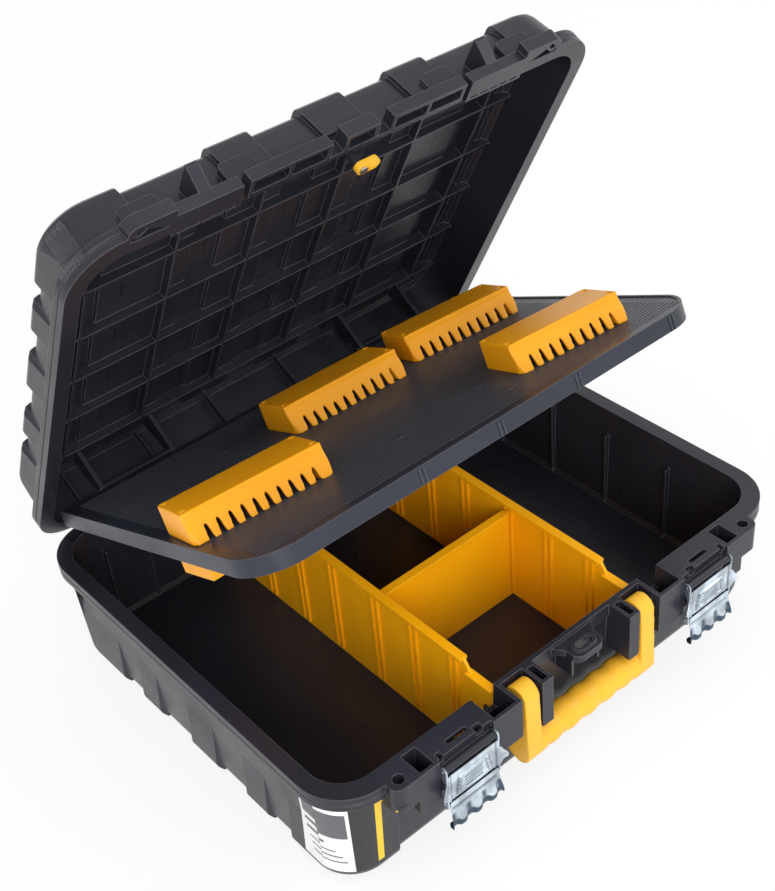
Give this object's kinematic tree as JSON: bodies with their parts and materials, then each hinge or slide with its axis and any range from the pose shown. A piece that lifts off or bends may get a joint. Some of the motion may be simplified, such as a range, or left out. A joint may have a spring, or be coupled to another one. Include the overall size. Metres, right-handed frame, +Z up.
{
  "type": "hard tool case",
  "caption": "Hard tool case with a hinged lid, fold-down tool panel with comb holders, dividers, folding handle and draw latches.",
  "frame": {"origin": "centre of the underside, half way between the front and back rims", "axes": "+X to the right when facing the latches, +Y to the hinge side, +Z up; the latches and handle are at -Y"},
  "size_m": [0.48, 0.4563, 0.4762],
  "materials": {
    "case_black": "satin, fine moulded grain",
    "panel_smoke": "satin, ribbed",
    "amber": "satin",
    "zinc": "bright zinc plated",
    "steel": "bright"
  },
  "bodies": {
    "case": {"bottom_shell": "case_black", "hinge_pins": "steel", "divider_left": "amber", "divider_right": "amber", "cross_divider": "amber", "handle_pins": "steel", "latch_base_left": "zinc", "latch_base_right": "zinc", "latch_rivets": "zinc", "latch_base_pins": "steel"},
    "lid": {"lid_shell": "case_black", "panel_brackets": "case_black", "panel_pins": "steel", "turn_catch_screw": "steel"},
    "panel": {"tool_panel": "panel_smoke", "holder_a": "amber", "holder_b": "amber", "holder_c": "amber", "holder_d": "amber", "under_holder_left": "amber", "under_holder_right": "amber", "holder_screws": "steel"},
    "handle": {"handle": "amber"},
    "link_left": {"latch_link_left": "zinc", "latch_link_pin_left": "steel"},
    "link_right": {"latch_link_right": "zinc", "latch_link_pin_right": "steel"},
    "lever_left": {"latch_lever_left": "zinc"},
    "lever_right": {"latch_lever_right": "zinc"},
    "catch": {"turn_catch": "amber"}
  },
  "joints": [
    {"name": "lid_hinge", "type": "hinge", "parent": "case", "child": "lid", "pos_m": [0, 0.1983, 0.10615], "axis": [-1, 0, 0], "range_deg": [-61.4, 33.6]},
    {"name": "panel_hinge", "type": "hinge", "parent": "lid", "child": "panel", "pos_m": [0, 0.18301, 0.14098], "axis": [1, 0, 0], "range_deg": [-38.1, 20.85]},
    {"name": "handle_hinge", "type": "hinge", "parent": "case", "child": "handle", "pos_m": [0, -0.198, 0.0955], "axis": [-1, 0, 0], "range_deg": [0, 90]},
    {"name": "turn_catch_pivot", "type": "hinge", "parent": "lid", "child": "catch", "pos_m": [-0.0055, 0.01137, 0.43135], "axis": [0, 0.878, 0.4787], "range_deg": [0, 90]},
    {"name": "latch_link_left_hinge", "type": "hinge", "parent": "case", "child": "link_left", "pos_m": [-0.13, -0.2115, 0.0965], "axis": [-1, 0, 0], "range_deg": [0, 180]},
    {"name": "latch_lever_left_hinge", "type": "hinge", "parent": "link_left", "child": "lever_left", "pos_m": [-0.13, -0.2115, 0.0615], "axis": [-1, 0, 0], "range_deg": [-180, 0]},
    {"name": "latch_link_right_hinge", "type": "hinge", "parent": "case", "child": "link_right", "pos_m": [0.13, -0.2115, 0.0965], "axis": [-1, 0, 0], "range_deg": [0, 180]},
    {"name": "latch_lever_right_hinge", "type": "hinge", "parent": "link_right", "child": "lever_right", "pos_m": [0.13, -0.2115, 0.0615], "axis": [-1, 0, 0], "range_deg": [-180, 0]}
  ],
  "couplings": [
    {"joint": "panel_hinge", "follows": "lid_hinge", "ratio": 0.6205},
    {"joint": "latch_lever_left_hinge", "follows": "latch_link_left_hinge", "ratio": -1},
    {"joint": "latch_lever_right_hinge", "follows": "latch_link_right_hinge", "ratio": -1}
  ]
}
